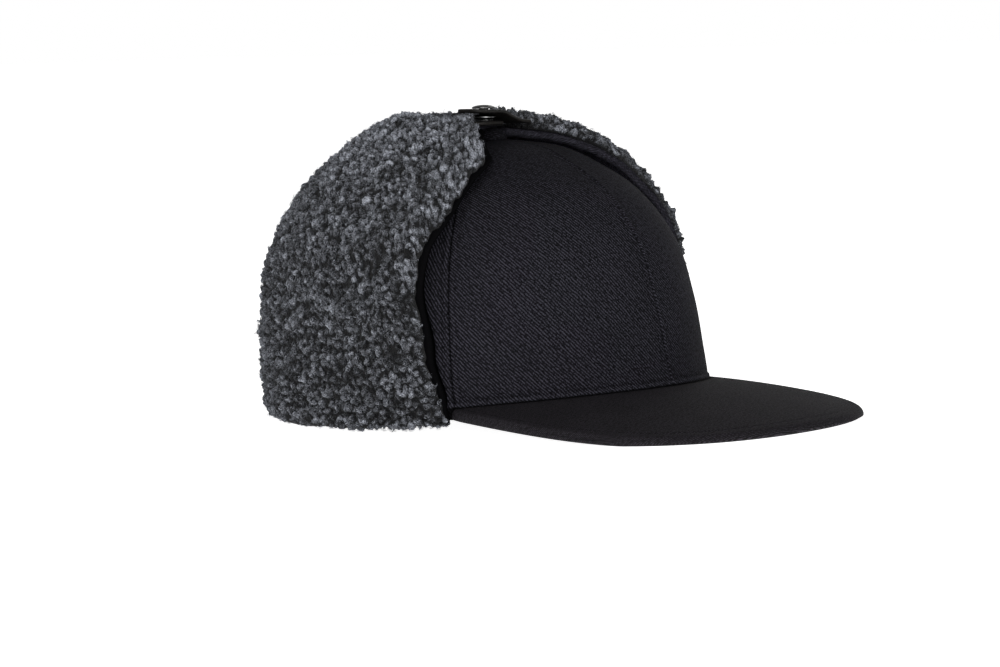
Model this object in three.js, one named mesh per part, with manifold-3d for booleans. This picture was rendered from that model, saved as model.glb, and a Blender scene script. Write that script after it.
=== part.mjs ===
// Earflap cap: a six-panel cap with a stiff peak, whose fleece flaps are turned up round the sides
// and back and held over the crown by two leather tabs that close with a press stud.
// Millimetres, +Z up. The peak points along -Y and the wearer's right is -X. The cap rests on z = 0.

import * as THREE from "three";
import Module from "manifold-3d";

const wasm = await Module();
wasm.setup();

// Crown
const CROWN_HALF_WIDTH = 84;
const CROWN_FRONT = 96.5;
const CROWN_BACK = 98;
const CROWN_TOP = 119;
const CROWN_THICKNESS = 2.4;
const BACK_RIM_HEIGHT = 9;
const SEAM_TURNS = [0, 65, 122, 180];
const PANEL_FULLNESS = 0.5;
const TOP_RING = 0.965;
const CLEARANCE = 0.3;

// The crown's upright outline, as shares of its height and of its reach at the rim. One row for each height.
const CROWN_PROFILE = [
  { height: 0.0, side: 1.0, front: 1.0, back: 1.0 },
  { height: 0.15, side: 1.0, front: 0.955, back: 1.0 },
  { height: 0.37, side: 0.98, front: 0.905, back: 0.975 },
  { height: 0.58, side: 0.91, front: 0.825, back: 0.9 },
  { height: 0.78, side: 0.74, front: 0.66, back: 0.72 },
  { height: 0.9, side: 0.53, front: 0.457, back: 0.5 },
  { height: 0.97, side: 0.31, front: 0.275, back: 0.28 },
  { height: 1.0, side: 0.0, front: 0.0, back: 0.0 },
];

// Button on top of the crown
const BUTTON_RADIUS = 6.5;
const BUTTON_HEIGHT = 5.2;
const BUTTON_SEAT = 118.8;

// Peak: its outline is one Bezier curve for each half, from beside the crown to the tip.
const PEAK_THICKNESS = 4.6;
const PEAK_REACH = 69.5;
const PEAK_END_TURN = 65;
const PEAK_END_WIDTH = 2.5;
const PEAK_SIDE_PULL = { x: 104, y: -120 };
const PEAK_TIP_PULL = 74;
const PEAK_CENTRE_HEIGHT = 15.9;
const PEAK_CURL = 0.0012;
const PEAK_SLOPE = 0.093;
const PEAK_DROOP = 0.00115;
const PEAK_ROWS = [0, 0.2, 0.4, 0.6, 0.8, 0.94, 0.985, 1];
const PEAK_ROUNDING = [0, 0, 0, 0, 0, 0, 0.5, 1.5];

// Flaps: a cloth backing against the crown with fleece outside it, folded round the crown's rim.
const BACKING_THICKNESS = 1.5;
const FLEECE_THICKNESS = 7.4;
const HEM_WIDTH = 3;
const TOP_HEM_WIDTH = 6;
const EDGE_ROUNDING = 8;
const FOLD_RADIUS = 2.5;
const FOLD_START = -100;
const FOLD_SHARE = 0.16;
const FLAP_LENGTH_AROUND = 250;
const FLAP_LENGTH_UP = 150;

// The front edge of a flap: how far in front of the crown's middle it lies at each height.
const FLAP_FRONT_EDGE = [
  { height: 0, forward: 38.5 },
  { height: 14, forward: 37.5 },
  { height: 34, forward: 33.3 },
  { height: 58, forward: 29.5 },
  { height: 70, forward: 30 },
  { height: 85, forward: 32.5 },
  { height: 100, forward: 31.7 },
  { height: 115, forward: 27 },
];

// The top edge of a flap: how far up the crown it ends, from its front edge to the seam at the back.
const FLAP_TOP_EDGE = [
  { across: 0.0, reach: 0.7 },
  { across: 0.03, reach: 0.78 },
  { across: 0.06, reach: 0.85 },
  { across: 0.1, reach: 0.91 },
  { across: 0.2, reach: 0.95 },
  { across: 0.35, reach: 0.955 },
  { across: 0.55, reach: 0.93 },
  { across: 0.8, reach: 0.88 },
  { across: 1.0, reach: 0.86 },
];

// How far the backing stands off the crown, from the rim to the top: along its front edge, over the middle of
// the side, and at the back.
const FLAP_STANDOFF = [
  { climb: 0.0, edge: 1.2, middle: 1.2, back: 1.2 },
  { climb: 0.2, edge: 7, middle: 3, back: 3 },
  { climb: 0.4, edge: 13, middle: 5.5, back: 5.5 },
  { climb: 0.6, edge: 6, middle: 7.5, back: 7.5 },
  { climb: 0.7, edge: 5, middle: 8, back: 9 },
  { climb: 0.8, edge: 4, middle: 6.5, back: 9.5 },
  { climb: 0.9, edge: 3, middle: 4, back: 5.5 },
  { climb: 1.0, edge: 3, middle: 3.3, back: 3.3 },
];
const MIDDLE_SHARE = 0.25;
const BACK_SHARE = 0.55;
const FOLD_LIFT = 4.2;
const FOLD_SQUARENESS = 0.2;

// Tabs: each one's underside runs from its root on a flap, through its rows, to its free end.
const TAB_ROOT_WIDTH = 18;
const TAB_END_WIDTH = 14;
const TAB_THICKNESS = 1.7;
const TAB_CORNER = 4;
const LOWER_TAB = [
  { x: -16.2, z: 125.2 },
  { x: -11, z: 125.2 },
  { x: -5, z: 125.2 },
  { x: 2, z: 125.1 },
];
const UPPER_TAB = [
  { x: 16.2, z: 125.2 },
  { x: 10.5, z: 125.9 },
  { x: 5, z: 127.8 },
  { x: 0, z: 129.8 },
  { x: -5, z: 130.2 },
  { x: -10.5, z: 130.3 },
  { x: -16.5, z: 130.8 },
];

// Press stud, on one upright axis. Each outline is turned about it; radius and height are in millimetres, the
// height from the underside of its tab.
const STUD_X = -5;
const STUD_HOLE_RADIUS = 2.3;
const CAP_OUTLINE = [
  { radius: 0, height: -0.6 },
  { radius: 2, height: -0.6 },
  { radius: 2, height: 2.1 },
  { radius: 5, height: 2.1 },
  { radius: 5.3, height: 2.4 },
  { radius: 4.7, height: 3 },
  { radius: 2.8, height: 3.5 },
  { radius: 0, height: 3.7 },
];
const SOCKET_OUTLINE = [
  { radius: 2.6, height: -2.5 },
  { radius: 4.2, height: -2.5 },
  { radius: 5, height: -2 },
  { radius: 5.1, height: -1.4 },
  { radius: 4.5, height: -0.8 },
  { radius: 2.6, height: -0.4 },
];
const STUD_OUTLINE = [
  { radius: 0, height: 0.2 },
  { radius: 2, height: 0.2 },
  { radius: 2, height: 2 },
  { radius: 4.5, height: 2 },
  { radius: 4.3, height: 2.3 },
  { radius: 1.9, height: 2.4 },
  { radius: 1.8, height: 2.9 },
  { radius: 2.2, height: 3.3 },
  { radius: 1.5, height: 3.8 },
  { radius: 0, height: 3.8 },
];

const degrees = THREE.MathUtils.degToRad;
const SEAMS = [...SEAM_TURNS.slice(1).reverse().map((turn) => -turn), ...SEAM_TURNS];

// A smooth curve through one column of a table, whose rows are evenly spaced along it.
function columnCurve(rows, column, along) {
  return new THREE.SplineCurve(rows.map((row) => new THREE.Vector2(row[along], row[column])));
}

// The value of one column where another has the given value.
function lookUp(rows, along, column, value) {
  const above = rows.findIndex((row) => row[along] >= value);
  if (above < 0) return rows.at(-1)[column];
  if (above === 0) return rows[0][column];
  const [low, high] = [rows[above - 1], rows[above]];
  const share = (value - low[along]) / (high[along] - low[along]);
  return THREE.MathUtils.lerp(low[column], high[column], THREE.MathUtils.smoothstep(share, 0, 1));
}

const sideCurve = columnCurve(CROWN_PROFILE, "side", "height");
const frontCurve = columnCurve(CROWN_PROFILE, "front", "height");
const backCurve = columnCurve(CROWN_PROFILE, "back", "height");

// The height of the peak's upper face over a point of the plan.
function peakHeight(x, y) {
  const inward = y + CROWN_FRONT;
  return PEAK_CENTRE_HEIGHT - PEAK_CURL * x * x + PEAK_SLOPE * inward - PEAK_DROOP * inward * inward;
}

// The height of the crown's lower edge: it follows the peak, and falls a little from its end to the back.
function rimHeight(turn) {
  const end = degrees(PEAK_END_TURN);
  const clamped = Math.min(Math.abs(turn), end);
  const overPeak = peakHeight(CROWN_HALF_WIDTH * Math.sin(clamped), -CROWN_FRONT * Math.cos(clamped));
  const backward = THREE.MathUtils.smoothstep(Math.abs(turn), end, 2 * end);
  return THREE.MathUtils.lerp(overPeak - PEAK_THICKNESS, BACK_RIM_HEIGHT, backward);
}

// A point of the crown's outer face. turn runs round it from the front, towards -X; climb runs from rim to top.
function crownPoint(turn, climb) {
  const side = sideCurve.getPoint(climb);
  const front = frontCurve.getPoint(climb).y * CROWN_FRONT;
  const back = backCurve.getPoint(climb).y * CROWN_BACK;
  const reach = Math.cos(turn) > 0 ? front : back;
  const rim = rimHeight(turn);
  return new THREE.Vector3(
    -side.y * CROWN_HALF_WIDTH * Math.sin(turn),
    -reach * Math.cos(turn),
    rim + side.x * (CROWN_TOP - rim),
  );
}

// The outward normal of the crown there.
function crownNormal(turn, climb) {
  const step = 0.004;
  const low = Math.max(climb - step, 0);
  const high = Math.min(climb + step, 1 - step);
  const around = crownPoint(turn + step, climb).sub(crownPoint(turn - step, climb));
  const up = crownPoint(turn, high).sub(crownPoint(turn, low));
  return up.cross(around).normalize();
}

// The places from 0 to 1 of count even steps, drawn together towards 1 by a power above 1.
function steps(count, power = 1) {
  return Array.from({ length: count + 1 }, (_, i) => 1 - (1 - i / count) ** power);
}

// A closed sheet between two faces. Each face is a function of u and v, from 0 to 1, that gives a point.
// Seen from outside the upper face, u runs to the right where v runs up.
function sheet(upper, lower, us, vs) {
  const positions = [];
  const index = [];
  for (const face of [upper, lower])
    for (const v of vs) for (const u of us) positions.push(...face(u, v).toArray());
  const [columns, rows] = [us.length - 1, vs.length - 1];
  const lowerStart = us.length * vs.length;
  const at = (i, j) => j * us.length + i;
  const quad = (a, b, c, d) => index.push(a, b, c, a, c, d);
  for (let j = 0; j < rows; j++)
    for (let i = 0; i < columns; i++) {
      const [a, b, c, d] = [at(i, j), at(i + 1, j), at(i + 1, j + 1), at(i, j + 1)];
      quad(a, b, c, d);
      quad(lowerStart + a, lowerStart + d, lowerStart + c, lowerStart + b);
    }
  const wall = (a, b) => quad(a, lowerStart + a, lowerStart + b, b);
  for (let i = 0; i < columns; i++) {
    wall(at(i, 0), at(i + 1, 0));
    wall(at(i + 1, rows), at(i, rows));
  }
  for (let j = 0; j < rows; j++) {
    wall(at(columns, j), at(columns, j + 1));
    wall(at(0, j + 1), at(0, j));
  }
  const geometry = new THREE.BufferGeometry();
  geometry.setAttribute("position", new THREE.Float32BufferAttribute(positions, 3));
  geometry.setIndex(index);
  return geometry;
}

// One panel of the crown: a shell that is fullest in its middle and ends at the button.
function crownPanel(number) {
  const [start, end] = [SEAMS[number], SEAMS[number + 1]].map(degrees);
  const face = (inset) => (u, v) => {
    const climb = v * TOP_RING;
    const edge = crownPoint(start, climb);
    const halfGap = CLEARANCE / 2 / Math.hypot(edge.x, edge.y);
    const turn = THREE.MathUtils.lerp(end - halfGap, start + halfGap, u);
    const fullness = PANEL_FULLNESS * Math.sqrt(Math.sin(Math.PI * u)) * Math.min(1, 8 * v, 3 * (1 - v));
    return crownPoint(turn, climb).addScaledVector(crownNormal(turn, climb), fullness - inset);
  };
  return sheet(face(0), face(CROWN_THICKNESS), steps(8), steps(12));
}

function button() {
  const dome = new THREE.EllipseCurve(0, 0, BUTTON_RADIUS, BUTTON_HEIGHT, 0, Math.PI / 2);
  const profile = [new THREE.Vector2(0, 0), ...dome.getPoints(6)];
  profile[profile.length - 1].x = 0;
  return new THREE.LatheGeometry(profile, 18);
}

// The peak: between the crown's rim and a Bezier outline, curled down at its sides and sloping to its tip.
function peak() {
  const end = crownPoint(degrees(PEAK_END_TURN), 0);
  const outline = new THREE.CubicBezierCurve(
    new THREE.Vector2(-end.x + PEAK_END_WIDTH, end.y),
    new THREE.Vector2(PEAK_SIDE_PULL.x, PEAK_SIDE_PULL.y),
    new THREE.Vector2(PEAK_TIP_PULL, -CROWN_FRONT - PEAK_REACH),
    new THREE.Vector2(0, -CROWN_FRONT - PEAK_REACH),
  );
  const face = (drop) => (u, v) => {
    const across = 1 - 2 * u;
    const turn = -across * degrees(PEAK_END_TURN);
    const inner = crownPoint(turn, 0);
    inner.addScaledVector(new THREE.Vector3(inner.x, inner.y, 0).normalize(), CLEARANCE + PANEL_FULLNESS / 4);
    const outer = outline.getPoint(1 - Math.abs(across));
    const rounding = PEAK_ROUNDING[PEAK_ROWS.indexOf(v)];
    const x = THREE.MathUtils.lerp(inner.x, Math.sign(across) * outer.x, v);
    const y = THREE.MathUtils.lerp(inner.y, outer.y, v);
    const z = drop > 0 ? Math.max(peakHeight(x, y) - drop, 0) + rounding : peakHeight(x, y) - rounding;
    return new THREE.Vector3(x, y, z);
  };
  return sheet(face(0), face(PEAK_THICKNESS), steps(36), PEAK_ROWS);
}

// A point of the wearer's right flap. across runs from its front edge to the back seam, rise from the fold's inner
// end to its top edge, and depth outwards from the face that lies against the crown.
function flapPoint(across, rise, depth) {
  const climbShare = Math.max(0, (rise - FOLD_SHARE) / (1 - FOLD_SHARE));
  const climb = climbShare * lookUp(FLAP_TOP_EDGE, "across", "reach", across);
  const edgeClimb = climbShare * FLAP_TOP_EDGE[0].reach;
  const forward = lookUp(FLAP_FRONT_EDGE, "height", "forward", crownPoint(Math.PI / 3, edgeClimb).z);
  const frontTurn = Math.acos(forward / (CROWN_FRONT * frontCurve.getPoint(edgeClimb).y));
  const turn = THREE.MathUtils.lerp(frontTurn, Math.PI, across);
  const besideSeam = (point) => point.setX(Math.min(point.x, -CLEARANCE / 2));
  if (rise < FOLD_SHARE) {
    const angle = degrees(FOLD_START * (1 - rise / FOLD_SHARE));
    const rim = crownPoint(turn, 0);
    const outward = new THREE.Vector3(rim.x, rim.y, 0).normalize();
    const radius = FOLD_RADIUS + depth;
    const inset = CROWN_THICKNESS / 2;
    const point = rim.addScaledVector(outward, radius * Math.cos(angle) - inset);
    point.z += inset + radius * Math.sin(angle);
    const lift = FOLD_LIFT * (1 - THREE.MathUtils.smoothstep(across, 0, 2 * MIDDLE_SHARE));
    point.z = Math.max(point.z, lift);
    return besideSeam(point);
  }
  const [edge, middle, back] = ["edge", "middle", "back"].map((part) => lookUp(FLAP_STANDOFF, "climb", part, climb));
  const behindEdge = THREE.MathUtils.lerp(edge, middle, THREE.MathUtils.smoothstep(across, 0, MIDDLE_SHARE));
  const gap = THREE.MathUtils.lerp(behindEdge, back, THREE.MathUtils.smoothstep(across, MIDDLE_SHARE, BACK_SHARE));
  return besideSeam(crownPoint(turn, climb).addScaledVector(crownNormal(turn, climb), gap + depth));
}

// The columns and rows of a flap. The fleece ends at the hems, and the backing has one more strip beyond them.
const FRONT_HEM_SHARE = HEM_WIDTH / FLAP_LENGTH_AROUND;
const TOP_HEM_SHARE = TOP_HEM_WIDTH / FLAP_LENGTH_UP;
const fleeceColumns = steps(20, 1.5).map((share) => THREE.MathUtils.lerp(1, FRONT_HEM_SHARE, share));
const fleeceRows = [
  ...steps(5).slice(0, -1).map((share) => share * FOLD_SHARE),
  ...steps(10, 1.4).map((share) => THREE.MathUtils.lerp(FOLD_SHARE, 1 - TOP_HEM_SHARE, share)),
];

// How full the fleece is: it is rounded off at its front and top edges, and fills the outer corner of the fold.
function fleeceFullness(across, rise) {
  const rounded = (distance) => {
    const short = 1 - Math.min(distance / EDGE_ROUNDING, 1);
    return 0.3 + 0.7 * Math.sqrt(1 - short * short);
  };
  const fromFront = (across - FRONT_HEM_SHARE) * FLAP_LENGTH_AROUND;
  const fromTop = (1 - TOP_HEM_SHARE - rise) * FLAP_LENGTH_UP;
  const corner = rise < FOLD_SHARE ? FOLD_SQUARENESS * Math.sin((Math.PI * rise) / FOLD_SHARE) : 0;
  return Math.min(rounded(fromFront), rounded(fromTop)) * (1 + corner);
}

function flapFleece() {
  const under = BACKING_THICKNESS + CLEARANCE;
  const outer = (u, v) => flapPoint(u, v, under + FLEECE_THICKNESS * fleeceFullness(u, v));
  const inner = (u, v) => flapPoint(u, v, under);
  return sheet(outer, inner, fleeceColumns, fleeceRows);
}

function flapBacking() {
  const face = (depth) => (u, v) => flapPoint(u, v, depth);
  return sheet(face(BACKING_THICKNESS), face(0), [...fleeceColumns, 0], [...fleeceRows, 1]);
}

// A solid of revolution about the press stud's axis, standing on the underside of a tab.
function turned(outline, height) {
  const geometry = new THREE.LatheGeometry(outline.map((row) => new THREE.Vector2(row.radius, row.height)), 16);
  return geometry.rotateX(Math.PI / 2).translate(STUD_X, 0, height);
}

// A leather tab: its section follows the rows of its table and narrows to a free end with rounded corners. A hole
// takes the post of the press stud.
function tab(rows) {
  const [root, free] = [rows[0], rows.at(-1)];
  const heading = Math.sign(free.x - root.x);
  const curve = new THREE.SplineCurve(rows.map((row) => new THREE.Vector2(row.x, row.z)));
  const us = [0, 0.1, 0.2, 0.3, 0.4, 0.5, 0.6, 0.7, 0.8, 0.88, 0.94, 0.98, 1];
  const face = (lift) => (u, v) => {
    const point = curve.getPoint(u);
    const short = 1 - Math.min(Math.abs(free.x - point.x) / TAB_CORNER, 1);
    const fullWidth = THREE.MathUtils.lerp(TAB_ROOT_WIDTH, TAB_END_WIDTH, u);
    const halfWidth = fullWidth / 2 - TAB_CORNER * (1 - Math.sqrt(1 - short * short));
    return new THREE.Vector3(point.x, heading * halfWidth * (2 * v - 1), point.y + lift);
  };
  const solid = solidOf(sheet(face(TAB_THICKNESS), face(0), us, steps(4)));
  const hole = wasm.Manifold.cylinder(40, STUD_HOLE_RADIUS, STUD_HOLE_RADIUS, 20).translate(STUD_X, 0, root.z - 20);
  return geometryOf(solid.subtract(hole));
}

// A geometry as a solid, and a solid as a geometry.
function solidOf(geometry) {
  return new wasm.Manifold(
    new wasm.Mesh({
      numProp: 3,
      vertProperties: new Float32Array(geometry.getAttribute("position").array),
      triVerts: new Uint32Array(geometry.getIndex().array),
    }),
  );
}

function geometryOf(solid) {
  const mesh = solid.getMesh();
  const geometry = new THREE.BufferGeometry();
  geometry.setAttribute("position", new THREE.BufferAttribute(mesh.vertProperties, 3));
  geometry.setIndex(new THREE.BufferAttribute(mesh.triVerts, 1));
  return geometry;
}

// The underside of a tab at the press stud.
function tabHeight(rows) {
  return rows.find((row) => Math.abs(row.x - STUD_X) <= 4.5).z;
}

const material = (color, roughness, metalness = 0) =>
  new THREE.MeshStandardMaterial({ color, roughness, metalness });
const twill = material(0x1a191d, 0.9);
const fleece = material(0x3e4044, 1);
const leather = material(0x17130f, 0.45);
const metal = material(0x6c6c70, 0.25, 1);

function piece(name, geometry, finish) {
  const mesh = new THREE.Mesh(geometry, finish);
  mesh.name = name;
  return mesh;
}

const cap = new THREE.Group();
const PANEL_NAMES = [
  "crown_panel_back_left",
  "crown_panel_side_left",
  "crown_panel_front_left",
  "crown_panel_front_right",
  "crown_panel_side_right",
  "crown_panel_back_right",
];
PANEL_NAMES.forEach((name, number) => cap.add(piece(name, crownPanel(number), twill)));

const topButton = piece("crown_button", button(), twill);
topButton.rotation.x = Math.PI / 2;
topButton.position.z = BUTTON_SEAT;
cap.add(topButton);

cap.add(piece("peak", peak(), twill));

for (const [side, mirror] of [["right", 1], ["left", -1]]) {
  for (const [name, geometry, finish] of [
    ["flap_backing_", flapBacking(), twill],
    ["flap_fleece_", flapFleece(), fleece],
  ]) {
    const flap = piece(name + side, geometry, finish);
    flap.scale.x = mirror;
    cap.add(flap);
  }
}

cap.add(piece("strap_lower", tab(LOWER_TAB), leather));
cap.add(piece("strap_upper", tab(UPPER_TAB), leather));
cap.add(piece("snap_cap", turned(CAP_OUTLINE, tabHeight(UPPER_TAB)), metal));
cap.add(piece("snap_socket", turned([...SOCKET_OUTLINE, SOCKET_OUTLINE[0]], tabHeight(UPPER_TAB)), metal));
cap.add(piece("snap_stud", turned(STUD_OUTLINE, tabHeight(LOWER_TAB)), metal));

// The part's origin is at the middle of its outer box, on the surface it rests on.
const box = new THREE.Box3().setFromObject(cap);
for (const mesh of cap.children) mesh.position.y -= (box.min.y + box.max.y) / 2;

export default cap;
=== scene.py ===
import math

import bpy
import numpy as np
from mathutils import Matrix, Vector, kdtree


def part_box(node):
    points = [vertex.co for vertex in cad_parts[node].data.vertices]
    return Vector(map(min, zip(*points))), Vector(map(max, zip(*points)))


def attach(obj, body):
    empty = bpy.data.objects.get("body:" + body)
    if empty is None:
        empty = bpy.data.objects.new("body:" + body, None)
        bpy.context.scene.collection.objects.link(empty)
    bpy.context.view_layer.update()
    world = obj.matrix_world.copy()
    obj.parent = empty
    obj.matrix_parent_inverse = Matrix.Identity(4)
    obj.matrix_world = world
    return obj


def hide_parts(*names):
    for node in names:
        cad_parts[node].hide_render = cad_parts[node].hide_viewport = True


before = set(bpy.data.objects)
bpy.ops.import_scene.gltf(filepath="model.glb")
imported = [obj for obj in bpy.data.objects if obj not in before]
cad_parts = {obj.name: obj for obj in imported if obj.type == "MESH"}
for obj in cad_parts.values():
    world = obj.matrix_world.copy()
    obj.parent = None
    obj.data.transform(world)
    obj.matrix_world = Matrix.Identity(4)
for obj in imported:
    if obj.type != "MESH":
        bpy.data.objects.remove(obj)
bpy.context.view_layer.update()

MM = 0.001
RANDOM_SEED = 11
# What each random pattern adds to its flap's seed
SEED_STEPS = {"lumps": 1, "patches": 2, "warp": (3, 4, 5), "fibres": 5, "curls": 6}
SIDES = {
    "right": {"mirror": 1, "seed": RANDOM_SEED},
    "left": {"mirror": -1, "seed": RANDOM_SEED + 10},
}
# An unevenness is this many plane waves, whose lengths vary by these factors.
WAVES = 6
WAVE_FACTORS = (0.7, 1.4)
DETAIL = 1.0

# Camera, in the part's frame: it looks at a point inside the cap from its front right.
IMAGE_WIDTH = 1000
CAMERA_AZIMUTH = 310
CAMERA_ELEVATION = 3.6
CAMERA_ROLL = 1.4
CAMERA_DISTANCE = 1.5
CAMERA_FOCAL_PIXELS = 3450
CAMERA_SHIFT_X = 0.005
CAMERA_SHIFT_Y = -0.0705
LOOK_AT_HEIGHT = 0.065
SENSOR_WIDTH = 36

# Crown, in millimetres about its own middle
CROWN_HALF_WIDTH = 84
CROWN_FRONT = 96.5
CROWN_BACK = 98
CROWN_TOP = 119
CROWN_THICKNESS = 2.4
BACK_RIM_HEIGHT = 9
TOP_RING = 0.985
CLEARANCE = 0.3
PANELS = {
    "back_left": {"start": -180, "end": -122, "cloth": "twill_side"},
    "side_left": {"start": -122, "end": -65, "cloth": "twill_side"},
    "front_left": {"start": -65, "end": 0, "cloth": "twill_front"},
    "front_right": {"start": 0, "end": 65, "cloth": "twill_front"},
    "side_right": {"start": 65, "end": 122, "cloth": "twill_side"},
    "back_right": {"start": 122, "end": 180, "cloth": "twill_side"},
}
CROWN_PROFILE = {
    "height": [0, 0.15, 0.37, 0.58, 0.78, 0.9, 0.97, 1],
    "side": [1, 1, 0.98, 0.91, 0.74, 0.53, 0.31, 0],
    "front": [1, 0.955, 0.905, 0.825, 0.66, 0.457, 0.275, 0],
    "back": [1, 1, 0.975, 0.9, 0.72, 0.5, 0.28, 0],
}

# The crown's mesh: columns at these distances from a seam, then even ones, and rows at these shares of
# the climb, close together round the hem, then even ones
SEAM_COLUMNS = [0, 0.2, 0.45, 0.75, 1.1, 1.5, 2, 2.5, 2.8, 3, 3.2, 3.6]
PANEL_COLUMNS = 30
HEM_ROWS = [0, 0.02, 0.035, 0.042, 0.045, 0.048, 0.051, 0.054, 0.057, 0.06, 0.063, 0.066, 0.07, 0.075]
CROWN_ROWS = 84

# How far a panel swells between its seams, and how steeply that begins at the rim and at the top
PANEL_FULLNESS = 0.5
FULLNESS_FROM_RIM = 8
FULLNESS_FROM_TOP = 3
CROWN_WAVE_LENGTH = 45
CROWN_WAVE_HEIGHT = 0.22

# Seams and hems of the crown
SEAM_DEPTH = 0.85
SEAM_WIDTH = 0.45
SEAM_ROLL = 0.22
SEAM_ROLL_AT = 1.5
SEAM_ROLL_WIDTH = 1.095
SEAM_END = 4
TOPSTITCH_AT = 3
TOPSTITCH_DEPTH = 0.16
TOPSTITCH_WIDTH = 0.35
TOPSTITCH_BETWEEN = 0.4
STITCH_PITCH = 2.6
HEM_HEIGHT = 6.8
HEM_RISE = 0.5
HEM_EASE = 0.5
HEM_GROOVE = 0.4
HEM_LINE_WIDTH = 0.45
RIDGE_HEIGHT = 6
RIDGE_WIDTH = 0.5

# How much darker the crown's cloth is in places, from 0 to 1: painted shade in the seams, in the crease above
# the peak and towards the top, and dark stitches. How much paler the hem's ridge is, by a painted highlight.
# The painted shade in the crease fades at these heights above the peak, and the top darkens with painted
# shade over these shares of the climb.
SEAM_SHADE = 0.7
SEAM_SHADE_WIDTH = 0.35
STITCH_SHADE = 0.5
CREASE_SHADE = 0.95
CREASE_FADE = (0.2, 0.9)
RIDGE_PAINTED_HIGHLIGHT = 0.6
TOP_SHADE = 0.4
TOP_SHADE_CLIMB = (0.45, 0.9)

# Button
BUTTON_RADIUS = 6.5
BUTTON_HEIGHT = 5.2
BUTTON_SEAT = 118.8
BUTTON_FOLDS = 6
BUTTON_FOLD_DEPTH = 0.05
BUTTON_FOLD_POWER = 8
# The button's cloth is darkened by this much painted shade.
BUTTON_SHADE = 0.55
BUTTON_COLUMNS = 97
BUTTON_ROWS = 28
BUTTON_FIRST_RING = 0.001

# Peak
PEAK_THICKNESS = 4.6
PEAK_REACH = 69.5
PEAK_END_TURN = 65
PEAK_END_WIDTH = 2.5
PEAK_GAP = CLEARANCE + PANEL_FULLNESS / 4
PEAK_SIDE_PULL = (104, -120)
PEAK_TIP_PULL = 74
PEAK_CENTRE_HEIGHT = 15.9
PEAK_CURL = 0.0012
PEAK_SLOPE = 0.093
PEAK_DROOP = 0.00115
PEAK_STITCH_AT = 5
PEAK_STITCH_DEPTH = 0.25
PEAK_STITCH_WIDTH = 0.7
PEAK_WAVE_LENGTH = 60
PEAK_WAVE_HEIGHT = 0.08
PEAK_WAVE_SEED = 5
PEAK_WAVE_TILT = 3
# Painted shade of the crease beside the crown fades over these distances out from the peak's inner edge.
PEAK_CREASE_FADE = (0.5, 1.8)

# The peak's mesh: its columns crowd towards both ends, and its rows towards the outer edge.
PEAK_COLUMNS = 200
PEAK_END_CROWDING = 0.35
PEAK_ROWS = 36
PEAK_EDGE_ROWS = 25
PEAK_EDGE_SHARE = 0.1
PEAK_EDGE_CROWDING = 1.6

# Flaps
BACKING_THICKNESS = 1.5
FLEECE_THICKNESS = 7.4
HEM_WIDTH = 3
TOP_HEM_WIDTH = 6
EDGE_ROUNDING = 8
LEAST_FULLNESS = 0.3
FOLD_RADIUS = 2.5
FOLD_START = -100
FOLD_SHARE = 0.16
FOLD_LIFT = 4.2
FOLD_SQUARENESS = 0.2
# Round sizes that turn shares of a flap into millimetres. Its own are about 190 and 160.
FLAP_WIDTH = 250
FLAP_HEIGHT = 150
MIDDLE_SHARE = 0.25
BACK_SHARE = 0.55
FRONT_EDGE_TURN = 60
FLAP_FRONT_EDGE = {
    "height": [0, 14, 34, 58, 70, 85, 100, 115],
    "forward": [38.5, 37.5, 33.3, 29.5, 30, 32.5, 31.7, 27],
}
FLAP_TOP_EDGE = {
    "across": [0, 0.03, 0.06, 0.1, 0.2, 0.35, 0.55, 0.8, 1],
    "reach": [0.7, 0.78, 0.85, 0.91, 0.95, 0.955, 0.93, 0.88, 0.86],
}
FLAP_STANDOFF = {
    "climb": [0, 0.2, 0.4, 0.6, 0.7, 0.8, 0.9, 1],
    "edge": [1.2, 7, 13, 6, 5, 4, 3, 3],
    "middle": [1.2, 3, 5.5, 7.5, 8, 6.5, 4, 3.3],
    "back": [1.2, 3, 5.5, 7.5, 9, 9.5, 5.5, 3.3],
}

# The flaps' cloth. Its hem is rolled in towards the crown. Its colour is painted light, paler than the
# crown's same cloth, and painted shade makes it dark under the fleece, and dark only near its edge on the
# crown's side.
FLAP_COLUMNS = 120
FLAP_ROWS = 90
FLAP_STITCH_AT = 2
FLAP_STITCH_DEPTH = 0.3
FLAP_STITCH_WIDTH = 0.5
HEM_ROLL = {"rise": [0, 0.3, 0.45, 0.7, 1], "right": [2, 4, 4.5, 0, 0], "left": [2, 2, 2, 2, 2]}
HEM_ROLL_WIDTH = 3.5
HEM_SHADE = {"right": 1.0, "left": 0.8}
HEM_FADE = {"right": (1.5, 5), "left": (0.5, 3)}

# Fleece: tufts stand on the pile, and each has fibres wound round it.
FLEECE_COLUMNS = 330
FLEECE_ROWS = 250
TUFT_SPACING = 2.75
TUFT_RADIUS = 1.75
TUFT_HEIGHT = 2.7
TUFT_HEIGHTS = (0.6, 1.15)
TUFT_FOOT = 0.3
TUFT_WARP = 1.1
TUFT_WARP_LENGTH = 4.5
TUFT_TRIES = 9
TUFT_NEIGHBOURS = 3
TUFT_SHARPNESS = 3
TUFT_GAP = (-0.3, 1.3)
TUFTS_JOINED_EVERY = 3
LUMP_LENGTH = 13
LUMP_HEIGHT = 0.6
CURL_LENGTH = 2.4
CURL_HEIGHT = 0.28
PILE_DROP = 1.2
FLOOR_EASE = 3
LEAST_AT_FLOOR = 0.1
BORDER_EASE = (-1.5, 2)
RAGGED_LENGTH = 7
RAGGED_DEPTH = 0.8
RAGGED_FRONT = (0.9, 1)
RAGGED_TOP = (0.85, 1)
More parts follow.
